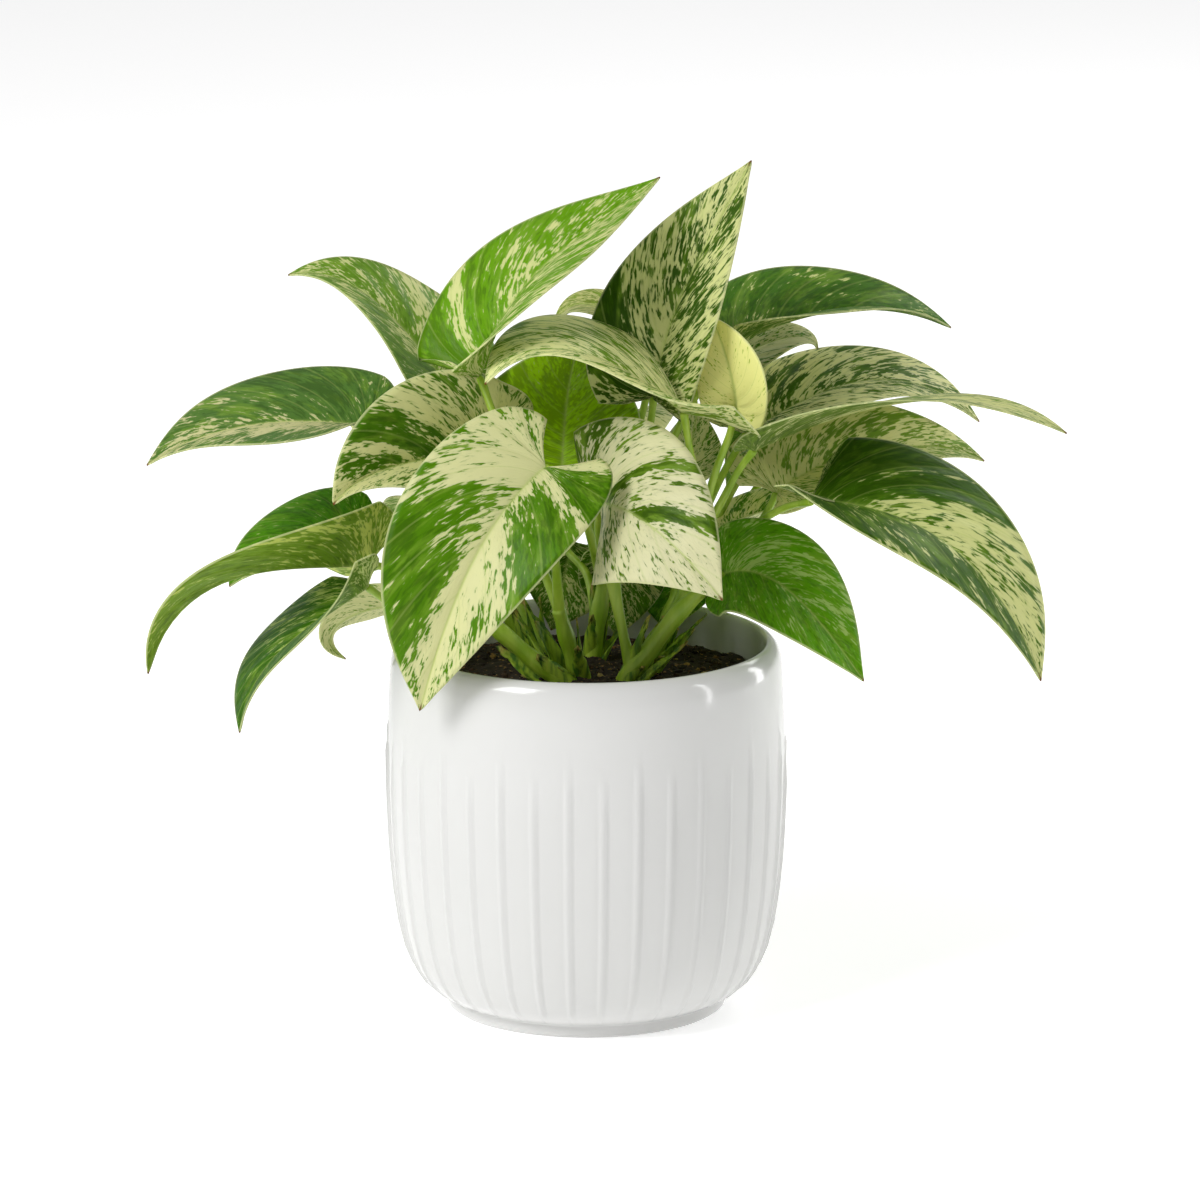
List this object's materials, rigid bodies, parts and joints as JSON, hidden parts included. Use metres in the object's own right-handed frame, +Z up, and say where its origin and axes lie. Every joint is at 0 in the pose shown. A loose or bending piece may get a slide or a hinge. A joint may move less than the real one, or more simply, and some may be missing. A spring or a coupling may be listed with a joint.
{
  "type": "potted marble queen pothos",
  "caption": "Bushy vine with heart-shaped green and cream marbled leaves, in a round white ribbed ceramic pot.",
  "frame": {"origin": "centre of the pot's flat foot", "axes": "+Z up, -Y towards the viewer of the picture, +X to the right"},
  "size_m": [0.303, 0.1806, 0.282],
  "materials": {
    "white_glaze": "glossy white glaze",
    "potting_mix": "dark, crumbly and matte",
    "green_stalk": "smooth, satin, yellow-green",
    "cream_marbled_leaf": "waxy satin, cream with green flecks and sectors",
    "mixed_marbled_leaf": "waxy satin, streaked green and cream",
    "green_marbled_leaf": "waxy satin, deep green with pale streaks",
    "young_leaf": "waxy satin, pale yellow"
  },
  "bodies": {
    "root": {"pot": "white_glaze", "soil": "potting_mix", "vine_1": "green_stalk", "vine_2": "green_stalk", "vine_3": "green_stalk", "vine_4": "green_stalk", "vine_5": "green_stalk", "vine_6": "green_stalk", "vine_7": "green_stalk", "vine_8": "green_stalk", "leaf_01": "cream_marbled_leaf", "leaf_02": "cream_marbled_leaf", "leaf_03": "mixed_marbled_leaf", "leaf_04": "mixed_marbled_leaf", "leaf_05": "green_marbled_leaf", "leaf_06": "green_marbled_leaf", "leaf_07": "green_marbled_leaf", "leaf_08": "green_marbled_leaf", "leaf_09": "cream_marbled_leaf", "leaf_10": "cream_marbled_leaf", "leaf_11": "green_marbled_leaf", "leaf_12": "mixed_marbled_leaf", "leaf_13": "cream_marbled_leaf", "leaf_14": "mixed_marbled_leaf", "leaf_15": "mixed_marbled_leaf", "leaf_16": "green_marbled_leaf", "leaf_17": "cream_marbled_leaf", "leaf_18": "green_marbled_leaf", "leaf_19": "mixed_marbled_leaf", "leaf_20": "mixed_marbled_leaf", "leaf_21": "cream_marbled_leaf", "leaf_22": "green_marbled_leaf", "leaf_23": "cream_marbled_leaf", "leaf_24": "cream_marbled_leaf", "leaf_25": "mixed_marbled_leaf", "leaf_26": "cream_marbled_leaf", "leaf_27": "green_marbled_leaf", "leaf_28": "mixed_marbled_leaf", "leaf_29": "cream_marbled_leaf", "leaf_30": "mixed_marbled_leaf", "leaf_31": "green_marbled_leaf", "leaf_32": "mixed_marbled_leaf", "young_leaf": "young_leaf"}
  },
  "joints": []
}
